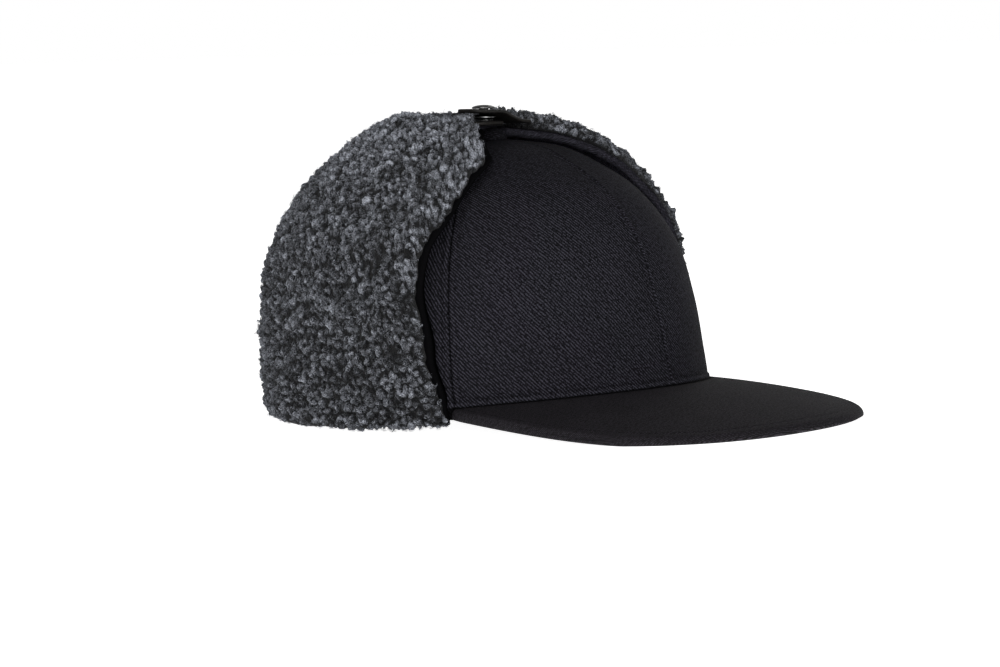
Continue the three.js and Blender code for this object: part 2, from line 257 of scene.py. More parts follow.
# How much fuller than the solid the pile is, over its height, beside its front edge and farther back.
FLEECE_SWELL = {
    "rise": [0, 0.5, 0.72, 0.86, 1],
    "edge_right": [0, 0, 0.8, 3.2, 4.2],
    "body_right": [0, -0.6, -1.7, -0.4, -1.2],
    "edge_left": [0, 0, -0.2, -0.2, -0.4],
    "body_left": [0, 0, -0.2, -0.2, -0.6],
}
SWELL_EDGE = (0.08, 0.3)
# How much of the hem shows beside the pile's front edge.
SHOWN_HEM = {"rise": [0, 0.15, 0.35, 0.65, 0.8, 1], "width": [0, 0.2, 3, 3, 1.2, 1.5]}
# The pile's painted light, low down and high up, paler at the top and more so on the wearer's right flap, and
# how its tone varies over patches and, lognormally, between tufts
LOW_PAINTED_LIGHT = 0.83
HIGH_PAINTED_LIGHT = {"right": 1.68, "left": 0.95}
PAINTED_LIGHT_RISE = (0.4, 0.95)
PATCH_LENGTH = 14
PATCH_TONE = 0.16
TUFT_TONE = (-0.05, 0.33)
TONE_LIMITS = (0.4, 2.4)

# Fibres, which wind round their tuft and climb. A pair is the least and the most, but a tone's pair is
# the mean and the width of its logarithm.
FIBRES_PER_TUFT = 12
FIBRE_STEPS = 3
FIBRE_WIDTH = 0.19
FIBRE_WIDTHS = (0.6, 1.5)
FIBRE_SCATTER = 0.32
FIBRE_LEAN = 0.45
FIBRE_ROLL = 0.4
FIBRE_WIND = (1.4, 3.8)
FIBRE_RADIUS = (0.3, 1.15)
FIBRE_CLIMB = (0.15, 0.65)
FIBRE_START = (-0.7, -0.1)
FIBRE_CLOSING = 0.4
FIBRE_TAPER = 0.6
FIBRE_ARCH = 0.6
FIBRE_TONE = (0.05, 0.5)
FIBRE_TONE_POWER = 0.8
# Painted shade at the fibres' roots, down in the pile: their brightness there.
FIBRE_ROOT_PAINTED_SHADE = 0.2

# Tabs and press stud
TAB_ROOT_WIDTH = 18
TAB_END_WIDTH = 14
TAB_THICKNESS = 1.7
TAB_CORNER = 4
TAB_ROUNDED = 0.14
TAB_SECTION_POWERS = (0.22, 0.55)
TAB_EDGE_THINNING = 0.98
TAB_STATIONS = 60
TAB_END_STATIONS = 24
TAB_END_CROWDING = 1.6
TAB_SIDES = 49
LOWER_TAB = {"x": [-16.2, -11, -5, 2], "z": [125.2, 125.2, 125.2, 125.1]}
UPPER_TAB = {
    "x": [16.2, 10.5, 5, 0, -5, -10.5, -16.5],
    "z": [125.2, 125.9, 127.8, 129.8, 130.2, 130.3, 130.8],
}
STUD_X = -5
STUD_ON_UPPER_TAB = UPPER_TAB["z"][4]
STUD_ON_LOWER_TAB = LOWER_TAB["z"][2]
STUD_SIDES = 73
CAP_OUTLINE = {
    "radius": [0, 2, 2, 4.7, 5.1, 5.3, 5.2, 4.7, 3.9, 2.8, 1.4, 0],
    "height": [-0.6, -0.6, 2.1, 2.1, 2.2, 2.4, 2.65, 3, 3.25, 3.5, 3.65, 3.7],
}
SOCKET_OUTLINE = {
    "radius": [2.6, 3.9, 4.4, 4.8, 5.05, 5.1, 4.9, 4.5, 3.7, 2.6, 2.6],
    "height": [-2.5, -2.5, -2.4, -2.15, -1.8, -1.45, -1.1, -0.8, -0.55, -0.4, -2.5],
}
STUD_OUTLINE = {
    "radius": [0, 2, 2, 4.3, 4.5, 4.4, 4, 1.9, 1.8, 2.1, 2.2, 1.9, 1.2, 0],
    "height": [0.2, 0.2, 2, 2, 2.15, 2.28, 2.36, 2.42, 2.9, 3.1, 3.35, 3.6, 3.78, 3.8],
}

# Studio
FLOOR_SIZE = 60
FLOOR_GLOW = 0.97
WORLD_LIGHT = 0.2
WORLD_SEEN = 1
LIGHT_DISTANCE = 1.8
LIGHT_SIZE = 1
LIGHTS = {
    "key": {"azimuth": 292, "elevation": 30, "power": 14},
    "side": {"azimuth": 300, "elevation": 6, "power": 7},
    "front": {"azimuth": 332, "elevation": 8, "power": 18.5},
    "back": {"azimuth": 110, "elevation": 15, "power": 6},
}

# The part's origin lies ahead of the crown's middle, by what the peak adds to the outer box.
CROWN_MIDDLE = np.array([0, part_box("peak")[0].y / MM + CROWN_FRONT + PEAK_REACH, 0])


def towards(azimuth, elevation):
    """The direction in which something lies that is seen at these angles. Azimuth 0 is the front."""
    turn, height = math.radians(azimuth), math.radians(elevation)
    level = math.cos(height)
    return Vector((math.sin(turn) * level, -math.cos(turn) * level, math.sin(height)))


def make_camera():
    azimuth = math.radians(CAMERA_AZIMUTH)
    roll = math.radians(CAMERA_ROLL)
    back = towards(CAMERA_AZIMUTH, CAMERA_ELEVATION)
    level_right = Vector((math.cos(azimuth), math.sin(azimuth), 0))
    level_up = back.cross(level_right)
    right = level_right * math.cos(roll) - level_up * math.sin(roll)
    up = level_up * math.cos(roll) + level_right * math.sin(roll)
    data = bpy.data.cameras.new("camera")
    data.sensor_width = SENSOR_WIDTH
    data.lens = CAMERA_FOCAL_PIXELS * SENSOR_WIDTH / IMAGE_WIDTH
    data.shift_x = CAMERA_SHIFT_X
    data.shift_y = CAMERA_SHIFT_Y
    camera = bpy.data.objects.new("camera", data)
    bpy.context.scene.collection.objects.link(camera)
    target = Vector((0, CROWN_MIDDLE[1] * MM, LOOK_AT_HEIGHT))
    turn = Matrix((right, up, back)).transposed().to_4x4()
    camera.matrix_world = Matrix.Translation(target + back * CAMERA_DISTANCE) @ turn
    bpy.context.scene.camera = camera


# Shapes. All of them work on whole arrays, in millimetres about the crown's middle.


def smoothstep(value, low=0.0, high=1.0):
    share = np.clip((value - low) / (high - low), 0, 1)
    return share * share * (3 - 2 * share)


def mix(first, second, share):
    return first * (1 - share) + second * share


def hump(distance, place, width):
    """1 at the given place, and falling away smoothly on both sides of it."""
    return np.exp(-(((distance - place) / width) ** 2))


def quarter_round(distance, width):
    """0 at an edge and 1 from the given width on, along a quarter of a circle."""
    short = 1 - np.clip(distance / width, 0, 1)
    return np.sqrt(1 - short**2)


def look_up(table, along, column, value):
    """The value of one column where another has the given value, eased between the rows."""
    places = np.array(table[along], float)
    values = np.array(table[column], float)
    above = np.clip(np.searchsorted(places, value), 1, len(places) - 1)
    share = (value - places[above - 1]) / (places[above] - places[above - 1])
    return mix(values[above - 1], values[above], smoothstep(share))


def spline(values, share):
    """A smooth curve through evenly spaced values."""
    values = np.array(values, float)
    last = len(values) - 1
    place = last * np.clip(share, 0, 1)
    start = np.minimum(np.floor(place).astype(int), last)
    t = place - start
    before, here, after, beyond = (values[np.clip(start + step, 0, last)] for step in (-1, 0, 1, 2))
    slope_here = (after - before) / 2
    slope_after = (beyond - here) / 2
    cubic = 2 * here - 2 * after + slope_here + slope_after
    square = -3 * here + 3 * after - 2 * slope_here - slope_after
    return cubic * t**3 + square * t**2 + slope_here * t + here


def bezier(points, share):
    start, first, second, end = (np.array(point, float) for point in points)
    t = share[..., None]
    rest = 1 - t
    return start * rest**3 + 3 * first * t * rest**2 + 3 * second * t**2 * rest + end * t**3


def unit(vectors):
    return vectors / np.maximum(np.linalg.norm(vectors, axis=-1, keepdims=True), 1e-9)


def peak_height(x, y):
    inward = y + CROWN_FRONT
    return PEAK_CENTRE_HEIGHT - PEAK_CURL * x**2 + PEAK_SLOPE * inward - PEAK_DROOP * inward**2


def rim_height(turn):
    end = math.radians(PEAK_END_TURN)
    beside = np.minimum(np.abs(turn), end)
    over_peak = peak_height(CROWN_HALF_WIDTH * np.sin(beside), -CROWN_FRONT * np.cos(beside))
    return mix(over_peak - PEAK_THICKNESS, BACK_RIM_HEIGHT, smoothstep(np.abs(turn), end, 2 * end))


def crown_point(turn, climb):
    """A point of the crown's outside. turn goes round from the front towards -X, climb from rim to top."""
    columns = ("height", "side", "front", "back")
    height, side, front, back = (spline(CROWN_PROFILE[column], climb) for column in columns)
    reach = np.where(np.cos(turn) > 0, front * CROWN_FRONT, back * CROWN_BACK)
    rim = rim_height(turn)
    x = -side * CROWN_HALF_WIDTH * np.sin(turn)
    y = -reach * np.cos(turn)
    return np.stack(np.broadcast_arrays(x, y, rim + height * (CROWN_TOP - rim)), -1)


def crown_normal(turn, climb):
    step = 0.004
    around = crown_point(turn + step, climb) - crown_point(turn - step, climb)
    higher = crown_point(turn, np.minimum(climb + step, 1 - step))
    lower = crown_point(turn, np.maximum(climb - step, 0))
    return unit(np.cross(higher - lower, around))


def flap_side(across, rise, depth):
    """The flap's part that stands against the crown."""
    climb_share = np.maximum(0, (rise - FOLD_SHARE) / (1 - FOLD_SHARE))
    climb = climb_share * look_up(FLAP_TOP_EDGE, "across", "reach", across)
    edge_climb = climb_share * FLAP_TOP_EDGE["reach"][0]
    edge_height = crown_point(np.full_like(edge_climb, math.radians(FRONT_EDGE_TURN)), edge_climb)[..., 2]
    forward = look_up(FLAP_FRONT_EDGE, "height", "forward", edge_height)
    front_turn = np.arccos(forward / (CROWN_FRONT * spline(CROWN_PROFILE["front"], edge_climb)))
    turn = mix(front_turn, math.pi, across)
    columns = ("edge", "middle", "back")
    edge, middle, back = (look_up(FLAP_STANDOFF, "climb", column, climb) for column in columns)
    behind_edge = mix(edge, middle, smoothstep(across, 0, MIDDLE_SHARE))
    standoff = mix(behind_edge, back, smoothstep(across, MIDDLE_SHARE, BACK_SHARE))
    side = crown_point(turn, climb) + crown_normal(turn, climb) * (standoff + depth)[..., None]
    return side, turn


def flap_fold(across, rise, depth, turn):
    """The flap's part that runs in under the crown's rim."""
    angle = np.radians(FOLD_START * (1 - rise / FOLD_SHARE))
    rim = crown_point(turn, np.zeros_like(turn))
    outward = unit(rim * [1, 1, 0])
    radius = FOLD_RADIUS + depth
    inset = CROWN_THICKNESS / 2
    fold = rim + outward * (radius * np.cos(angle) - inset)[..., None]
    lift = FOLD_LIFT * (1 - smoothstep(across, 0, 2 * MIDDLE_SHARE))
    fold[..., 2] = np.maximum(fold[..., 2] + inset + radius * np.sin(angle), lift)
    return fold


def flap_point(across, rise, depth):
    """A point of the wearer's right flap: across from its front edge to the back seam, rise from the fold's
    inner end to the top edge, depth outwards from the face against the crown."""
    across, rise, depth = (np.asarray(part, float) for part in np.broadcast_arrays(across, rise, depth))
    side, turn = flap_side(across, rise, depth)
    fold = flap_fold(across, rise, depth, turn)
    point = np.where((rise < FOLD_SHARE)[..., None], fold, side)
    point[..., 0] = np.minimum(point[..., 0], -CLEARANCE / 2)
    return point


def fleece_fullness(across, rise):
    """How full the pile is: rounded off at its front and top edges, and filling the fold's outer corner."""
    from_front = (across - HEM_WIDTH / FLAP_WIDTH) * FLAP_WIDTH
    from_top = (1 - TOP_HEM_WIDTH / FLAP_HEIGHT - rise) * FLAP_HEIGHT
    corner = np.where(rise < FOLD_SHARE, FOLD_SQUARENESS * np.sin(math.pi * rise / FOLD_SHARE), 0)
    rounded = np.minimum(quarter_round(from_front, EDGE_ROUNDING), quarter_round(from_top, EDGE_ROUNDING))
    return mix(LEAST_FULLNESS, 1, rounded) * (1 + corner)


def waves(points, length, strength, seed):
    """A gentle unevenness: a few plane waves of about the given length, laid over each other."""
    chance = np.random.default_rng(seed)
    total = np.zeros(points.shape[:-1])
    for _ in range(WAVES):
        direction = unit(chance.normal(size=3))
        turns_per_mm = math.tau / length * chance.uniform(*WAVE_FACTORS)
        total += np.sin(points @ direction * turns_per_mm + chance.uniform(0, math.tau))
    return strength * total / (WAVES / 2)


def arc_lengths(points, axis):
    """Running distances over a grid of points, along one axis of the grid."""
    steps = np.linalg.norm(np.diff(points, axis=axis), axis=-1)
    start = np.zeros_like(np.take(steps, [0], axis=axis))
    return np.concatenate([start, np.cumsum(steps, axis=axis)], axis=axis)


def grid_normals(points):
    around = np.gradient(points, axis=1)
    up = np.gradient(points, axis=0)
    return unit(np.cross(around, up))


# Meshes


def at_detail(count):
    return int(count * DETAIL)


def quad_faces(rows, columns, start=0, flip=False):
    corner = start + np.arange(rows - 1)[:, None] * columns + np.arange(columns - 1)[None, :]
    quads = np.stack([corner, corner + 1, corner + columns + 1, corner + columns], -1).reshape(-1, 4)
    return quads[:, ::-1] if flip else quads


def shell_faces(rows, columns):
    """Faces of a closed sheet: its upper grid of points, then its lower one, then the walls between them."""
    count = rows * columns
    upper = quad_faces(rows, columns)
    lower = quad_faces(rows, columns, count, flip=True)
    grid = np.arange(count).reshape(rows, columns)
    border = np.concatenate([grid[0, :-1], grid[:-1, -1], grid[-1, :0:-1], grid[::-1, 0][:-1], grid[:1, 0]])
    walls = np.stack([border[1:], border[:-1], border[:-1] + count, border[1:] + count], -1)
    return np.concatenate([upper, lower, walls])


def split_faces(quads):
    """Triangles from quads, cut along one diagonal and the other by turns, so that no slant shows."""
    odd = (np.arange(len(quads)) % 2).astype(bool)[:, None]
    turned_quads = np.where(odd, np.roll(quads, 1, axis=1), quads)
    return np.concatenate([turned_quads[:, [0, 1, 2]], turned_quads[:, [0, 2, 3]]])


def in_turn(*grids):
    """The points of several grids, one grid after the other."""
    return np.concatenate([grid.reshape(-1, grid.shape[-1]) for grid in grids])


def make_object(name, points, faces, finish, *, node=None, uvs=None, values=None):
    """An object from points in millimetres about the crown's middle, with uvs in millimetres of cloth."""
    mesh = bpy.data.meshes.new(name)
    places = (points.reshape(-1, 3) + CROWN_MIDDLE) * MM
    mesh.from_pydata(places.tolist(), [], np.asarray(faces).tolist())
    mesh.shade_smooth()
    if uvs is not None:
        corners = np.zeros(len(mesh.loops), np.int32)
        mesh.loops.foreach_get("vertex_index", corners)
        layer = mesh.uv_layers.new(name="cloth")
        layer.data.foreach_set("uv", uvs.reshape(-1, 2)[corners].astype(np.float32).ravel())
    for title, numbers in (values or {}).items():
        attribute = mesh.attributes.new(title, "FLOAT", "POINT")
        attribute.data.foreach_set("value", np.asarray(numbers, np.float32).ravel())
    mesh.materials.append(finish)
    piece = bpy.data.objects.new(name, mesh)
    bpy.context.scene.collection.objects.link(piece)
    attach(piece, "root")
    if node:
        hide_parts(node)


# Materials


class Nodes:
    """A material's nodes. Each call adds one node and gives its output."""

    def __init__(self, name):
        self.material = bpy.data.materials.new(name)
        self.material.use_nodes = True
        self.tree = self.material.node_tree
        self.shader = self.tree.nodes["Principled BSDF"]

    def feed(self, socket, value):
        if isinstance(value, bpy.types.NodeSocket):
            self.tree.links.new(value, socket)
        else:
            socket.default_value = value

    def add(self, kind, output=0, settings=None, **inputs):
        """A node with its inputs by name, with _ for a space, or by number, as i0, i1 and so on."""
        node = self.tree.nodes.new(kind)
        for title, value in (settings or {}).items():
            setattr(node, title, value)
        for title, value in inputs.items():
            by_number = title[1:].isdigit()
            self.feed(node.inputs[int(title[1:]) if by_number else title.replace("_", " ")], value)
        return node.outputs[output]

    def place(self):
        """The point's own place in the object, in metres."""
        return self.add("ShaderNodeTexCoord", 3)

    def attribute(self, name):
        return self.add("ShaderNodeAttribute", 2, {"attribute_name": name})

    def apart(self, vector):
        """The X and Y parts of a vector."""
        x = self.add("ShaderNodeSeparateXYZ", Vector=vector)
        return x, x.node.outputs[1]

    def math(self, operation, first, second=0.0, third=0.0):
        return self.add("ShaderNodeMath", settings={"operation": operation}, i0=first, i1=second, i2=third)

    def times(self, first, second, plus=0.0):
        return self.math("MULTIPLY_ADD", first, second, plus)

    def noise(self, place, scale, detail=2.0, rough=0.5, twist=0.0):
        look = {"Scale": scale, "Detail": detail, "Roughness": rough, "Distortion": twist}
        return self.add("ShaderNodeTexNoise", Vector=place, **look)

    def hair_lines(self, place, scale, width):
        """Thin winding lines: bright where a twisted noise crosses its middle value."""
        noise = self.noise(place, scale, rough=0.55, twist=1.4)
        off_middle = self.math("ABSOLUTE", self.math("SUBTRACT", noise, 0.5))
        return self.spread(off_middle, (0.0, width), (1.0, 0.0))

    def spread(self, value, source, target=(0.0, 1.0)):
        """value from the source range to the target range, held at the ends."""
        low, high = source
        to_low, to_high = target
        return self.add("ShaderNodeMapRange", i0=value, i1=low, i2=high, i3=to_low, i4=to_high)

    def blend(self, share, first, second):
        return self.add("ShaderNodeMix", 2, {"data_type": "RGBA"}, i0=share, i6=first, i7=second)

    def bump(self, height, strength, distance):
        return self.add("ShaderNodeBump", Height=height, Strength=strength, Distance=distance)

    def finish(self, **inputs):
        for title, value in inputs.items():
            self.feed(self.shader.inputs[title.replace("_", " ")], value)
        return self.material


def grey(level, red=1.0, green=1.0, blue=1.0):
    return (level * red, level * green, level * blue, 1)


# Twills: darkest and lightest colours, then grain in degrees and pitch from rib to rib in millimetres
CROWN_COLOURS = (grey(0.0004, 1, 0.97, 1.2), grey(0.037, 1, 0.97, 1.25))
PEAK_COLOURS = (grey(0.0006, 1, 0.88, 1.1), grey(0.035, 1, 0.88, 1.1))
# The backing's lightest colour is painted light: far paler than the crown's cloth, for a face that lies in
# shade.
BACKING_PAINTED_LIGHT_COLOURS = (grey(0.002, 1, 0.97, 1.15), grey(0.2, 1, 0.96, 1.25))
TWILLS = {
    "twill_front": {"grain": -49, "pitch": 1.17, "colours": CROWN_COLOURS, "relief": 0.7, "gloss": 0.04},
    "twill_side": {"grain": -52, "pitch": 1.17, "colours": CROWN_COLOURS, "relief": 0.7, "gloss": 0.04},
    "peak_cloth": {"grain": -8, "pitch": 0.8, "colours": PEAK_COLOURS, "relief": 0.8, "gloss": 0.12},
    "backing_cloth": {"grain": -52, "pitch": 0.6, "colours": BACKING_PAINTED_LIGHT_COLOURS, "relief": 0.5, "gloss": 0.02},
}
RIB_SHARPNESS = 1.9
RIB_WOBBLE = 1.5
BEAD_PITCH = 0.95
BEAD_STEP = 2.4
# How pale the ribs are: partly their weave, partly painted highlight where light catches them.
RIB_TONE = 1.12
NAP_TONE = 0.36

# The other materials' darkest and lightest colours
PILE_COLOURS = (grey(0.002, 0.95, 1, 1.3), grey(0.47, 0.94, 0.99, 1.12))
LEATHER_COLOURS = (grey(0.002, 1.1, 1, 0.95), grey(0.009, 1.2, 1, 0.85))
METAL_COLOURS = (grey(0.1, 1, 1, 1.04), grey(0.3, 1, 0.99, 0.97))


def twill_material(name, grain, pitch, colours, relief, gloss):
    """Wool twill: narrow slanting ribs of the given grain and pitch, broken into floats, under a nap. The
    ribs are pale partly by their weave and partly by painted highlight.
    """
    n = Nodes(name)
    cloth = n.add("ShaderNodeUVMap", settings={"uv_map": "cloth"})
    about_z = {"rotation_type": "Z_AXIS"}
    turned_cloth = n.add("ShaderNodeVectorRotate", settings=about_z, Vector=cloth, Angle=-math.radians(grain))
    along, across = n.apart(turned_cloth)
    nap = n.noise(cloth, scale=1.5, detail=3, rough=0.65)
    patches = n.noise(cloth, scale=0.06, detail=3, rough=0.55)

    wobble = n.noise(cloth, scale=0.16, detail=4, rough=0.6)
    turns = n.math("MULTIPLY", n.times(wobble, RIB_WOBBLE, plus=across), math.tau / pitch)
    rib = n.math("POWER", n.times(n.math("SINE", turns), 0.5, plus=0.5), RIB_SHARPNESS)
    rib_number = n.math("FLOOR", n.math("DIVIDE", turns, math.tau))
    bead_turns = n.times(along, math.tau / BEAD_PITCH, plus=n.math("MULTIPLY", rib_number, BEAD_STEP))
    beads = n.times(n.math("SINE", bead_turns), 0.4, plus=0.85)
    float_along = n.math("MULTIPLY", along, 0.9)
    float_across = n.math("DIVIDE", across, pitch)
    float_place = n.add("ShaderNodeCombineXYZ", X=float_along, Y=float_across)
    floats = n.noise(float_place, scale=1.0, detail=2, rough=0.6)

    rib_pattern_and_highlight = n.math("MULTIPLY", n.math("MULTIPLY", rib, beads), n.spread(floats, (0.38, 0.62), (0.1, 1.6)))
    rib_pattern_and_highlight = n.math("MULTIPLY", rib_pattern_and_highlight, n.spread(patches, (0.3, 0.7), (0.8, 1.2)))
    tone = n.times(n.spread(nap, (0.4, 0.75)), NAP_TONE, plus=n.math("MULTIPLY", rib_pattern_and_highlight, RIB_TONE))
    # The shade attribute darkens the colour: painted shade, dark stitches and, below 0, the hem ridge's
    # painted highlight.
    lit = n.math("SUBTRACT", 1.0, n.attribute("shade"))
    return n.finish(
        Base_Color=n.blend(n.math("MULTIPLY", tone, lit), *colours),
        Roughness=n.spread(nap, (0.3, 0.7), (0.78, 0.95)),
        Normal=n.bump(n.times(nap, 0.5, plus=rib), relief, distance=0.0005),
        Specular_IOR_Level=gloss,
    )


def fleece_material():
    """Curly pile: thin pale hairs that wind over a dark ground, with painted light on the tufts and painted
    shade between them.
    """
    n = Nodes("fleece")
    place = n.place()
    long_hairs = n.hair_lines(place, scale=430, width=0.075)
    short_hairs = n.hair_lines(place, scale=880, width=0.085)
    hairs = n.times(long_hairs, 0.6, plus=n.math("MULTIPLY", short_hairs, 0.5))
    patches = n.noise(place, scale=110, detail=3, rough=0.6)
    specks = n.noise(place, scale=2100, detail=2, rough=0.6)
    factors = [
        # Painted light and shade by the pile's height: pale on the tufts, dark in the gaps between them.
        n.spread(n.attribute("painted_pile_light"), (0.1, 0.78), (0.06, 1.35)),
        n.times(hairs, 1.35, plus=0.2),
        n.spread(patches, (0.3, 0.7), (0.7, 1.3)),
        n.spread(specks, (0.3, 0.7), (0.25, 1.75)),
        n.attribute("tone"),
    ]
    bright = factors[0]
    for factor in factors[1:]:
        bright = n.math("MULTIPLY", bright, factor)
    return n.finish(
        Base_Color=n.blend(n.spread(bright, (0.12, 2.3)), *PILE_COLOURS),
        Roughness=0.92,
        Normal=n.bump(hairs, strength=0.8, distance=0.0006),
        Sheen_Weight=0.06,
        Sheen_Roughness=0.5,
        Specular_IOR_Level=0.1,
    )


def leather_material():
    """Black leather: a fine grain, creases and pores."""
    n = Nodes("leather")
    place = n.place()
    by_edge = {"feature": "DISTANCE_TO_EDGE"}
    grain = n.add("ShaderNodeTexVoronoi", settings=by_edge, Vector=place, Scale=1500)
    creases = n.noise(place, scale=260, detail=4, rough=0.6)
    pores = n.noise(place, scale=4200)
    relief = n.times(creases, 0.6, plus=n.spread(grain, (0, 0.25)))
    return n.finish(
        Base_Color=n.blend(n.spread(creases, (0.3, 0.75)), *LEATHER_COLOURS),
        Roughness=n.spread(n.times(pores, 0.5, plus=creases), (0.4, 1.1), (0.48, 0.7)),
        Normal=n.bump(relief, strength=0.35, distance=0.0002),
        Specular_IOR_Level=0.2,
    )


def metal_material():
    """Shiny dark metal, with patches of tarnish and fine scratches."""
    n = Nodes("stud_metal")
    place = n.place()
    tarnish = n.noise(place, scale=420, detail=4, rough=0.6)
    scratches = n.noise(place, scale=5200)
    return n.finish(
        Base_Color=n.blend(n.spread(tarnish, (0.35, 0.7)), *METAL_COLOURS),
        Metallic=1.0,
        Roughness=n.spread(tarnish, (0.3, 0.75), (0.1, 0.2)),
        Normal=n.bump(scratches, strength=0.08, distance=0.00005),
    )


CLOTHS = {name: twill_material(name, **twill) for name, twill in TWILLS.items()}
FLEECE = fleece_material()
LEATHER = leather_material()
METAL = metal_material()


# Crown


def panel_columns(start, end):
    """Turns from one seam to the next, close together beside the seams."""
    beside = np.array(SEAM_COLUMNS) / CROWN_HALF_WIDTH
    first, last = math.radians(start), math.radians(end)
    inner = np.linspace(first + beside[-1], last - beside[-1], at_detail(PANEL_COLUMNS) + 2)[1:-1]
    return np.concatenate([first + beside, inner, last - beside[::-1]])


def crown_rows():
    return np.concatenate([HEM_ROWS, np.linspace(HEM_ROWS[-1], TOP_RING, at_detail(CROWN_ROWS))[1:]])


def panel_lift(base, climbs, around, up, from_seam, stitches):
    """How far the cloth lies outside the crown's plain form: fullness, seams, topstitching and hem."""
    share = np.clip(around / np.maximum(around[:, -1:], 1e-6), 0, 1)
    towards_ends = np.minimum(FULLNESS_FROM_RIM * climbs, FULLNESS_FROM_TOP * (1 - climbs))
    fullness = PANEL_FULLNESS * np.sqrt(np.sin(math.pi * share)) * np.minimum(1, towards_ends)
    groove = -SEAM_DEPTH * hump(from_seam, 0, SEAM_WIDTH)
    roll = SEAM_ROLL * hump(from_seam, SEAM_ROLL_AT, SEAM_ROLL_WIDTH)
    pressed = mix(TOPSTITCH_BETWEEN, 1, stitches)
    topstitch = -TOPSTITCH_DEPTH * hump(from_seam, TOPSTITCH_AT, TOPSTITCH_WIDTH) * pressed
    fade = np.minimum(1, SEAM_END * (1 - climbs))
    hem = HEM_RISE * (1 - smoothstep(up, HEM_HEIGHT - HEM_EASE, HEM_HEIGHT + HEM_EASE))
    hem_groove = -HEM_GROOVE * hump(up, HEM_HEIGHT, HEM_GROOVE)
    unevenness = waves(base, CROWN_WAVE_LENGTH, CROWN_WAVE_HEIGHT, RANDOM_SEED)
    return fullness + (groove + roll + topstitch) * fade + hem + hem_groove + unevenness


def panel_shade(climbs, up, from_seam, stitches):
    """How much darker the cloth is: painted shade in its seams, in the crease under the hem and towards the
    top, darker between stitches, and paler by a painted highlight on the hem's ridge.
    """
    seam = SEAM_SHADE * hump(from_seam, 0, SEAM_SHADE_WIDTH)
    stitch = STITCH_SHADE * hump(from_seam, TOPSTITCH_AT, TOPSTITCH_WIDTH) * (1 - stitches)
    hem = STITCH_SHADE * hump(up, HEM_HEIGHT + HEM_GROOVE, HEM_LINE_WIDTH)
    crease = CREASE_SHADE * (1 - smoothstep(up - PEAK_THICKNESS, *CREASE_FADE))
    top = TOP_SHADE * smoothstep(climbs, *TOP_SHADE_CLIMB)
    ridge = RIDGE_PAINTED_HIGHLIGHT * hump(up, RIDGE_HEIGHT, RIDGE_WIDTH)
    return np.maximum.reduce([seam, stitch, hem, crease, top]) - ridge


def crown_panel(title, start, end, cloth):
    turns, climbs = np.meshgrid(panel_columns(start, end)[::-1], crown_rows())
    base = crown_point(turns, climbs)
    normals = crown_normal(turns, climbs)
    around = arc_lengths(base, 1)
    up = arc_lengths(base, 0)
    middle = around.shape[1] // 2
    from_middle = around - around[:, middle : middle + 1]
    uvs = np.stack([from_middle, np.broadcast_to(up[:, middle : middle + 1], up.shape)], -1)
    from_seam = np.minimum(around, around[:, -1:] - around)
    stitches = 0.5 + 0.5 * np.cos(up * math.tau / STITCH_PITCH)
    lift = panel_lift(base, climbs, around, up, from_seam, stitches)
    shade = panel_shade(climbs, up, from_seam, stitches)
    make_object(
        "crown_" + title,
        in_turn(base + normals * lift[..., None], base - normals * CROWN_THICKNESS),
        shell_faces(*turns.shape),
        CLOTHS[cloth],
        uvs=in_turn(uvs, uvs),
        values={"shade": [shade, 0 * shade]},
        node="crown_panel_" + title,
    )


def crown_button():
    """A cloth-covered button: a dome with shallow gathers towards its edge, darkened all over by painted
    shade.
    """
    columns = np.linspace(0, math.tau, BUTTON_COLUMNS)
    turns, rings = np.meshgrid(columns, np.linspace(BUTTON_FIRST_RING, 1, BUTTON_ROWS))
    gathers = 1 - BUTTON_FOLD_DEPTH * np.cos(turns * BUTTON_FOLDS) ** BUTTON_FOLD_POWER * rings**2
    slope = rings * math.pi / 2
    radius = BUTTON_RADIUS * np.sin(slope) * gathers
    height = BUTTON_SEAT + BUTTON_HEIGHT * np.cos(slope) * gathers
    arc = slope * BUTTON_RADIUS
    make_object(
        "crown_button_cover",
        np.stack([radius * np.cos(turns), radius * np.sin(turns), height], -1),
        quad_faces(*turns.shape, flip=True),
        CLOTHS["twill_front"],
        uvs=np.stack([arc * np.cos(turns), arc * np.sin(turns)], -1),
        values={"shade": np.full(turns.size, BUTTON_SHADE)},
        node="crown_button",
    )


# Peak


def peak_grid():
    """Places over the peak: across it from 1 to -1, and out from 0 at the crown to 1 at its edge."""
    count = at_detail(PEAK_COLUMNS) + 1
    crowded = np.sin(np.linspace(-math.pi / 2, math.pi / 2, count))
    columns = crowded * PEAK_END_CROWDING + np.linspace(-1, 1, count) * (1 - PEAK_END_CROWDING)
    even = np.linspace(1, PEAK_EDGE_SHARE, at_detail(PEAK_ROWS))
    edge = np.linspace(1, 0, PEAK_EDGE_ROWS)[1:] ** PEAK_EDGE_CROWDING * PEAK_EDGE_SHARE
    return np.meshgrid(columns[::-1], 1 - np.concatenate([even, edge]))


def peak_edges(across):
    """The peak's inner edge along the crown, as points, and its outer edge, in plan."""
    turn = -across * math.radians(PEAK_END_TURN)
    inner = crown_point(turn, np.zeros_like(turn))
    inner = inner + unit(inner * [1, 1, 0]) * PEAK_GAP
    end = crown_point(np.array(math.radians(PEAK_END_TURN)), np.array(0.0))
    tip = -CROWN_FRONT - PEAK_REACH
    outline = [(-end[0] + PEAK_END_WIDTH, end[1]), PEAK_SIDE_PULL, (PEAK_TIP_PULL, tip), (0, tip)]
    outer = bezier(outline, 1 - np.abs(across))
    outer[..., 0] *= np.sign(across)
    return inner, outer


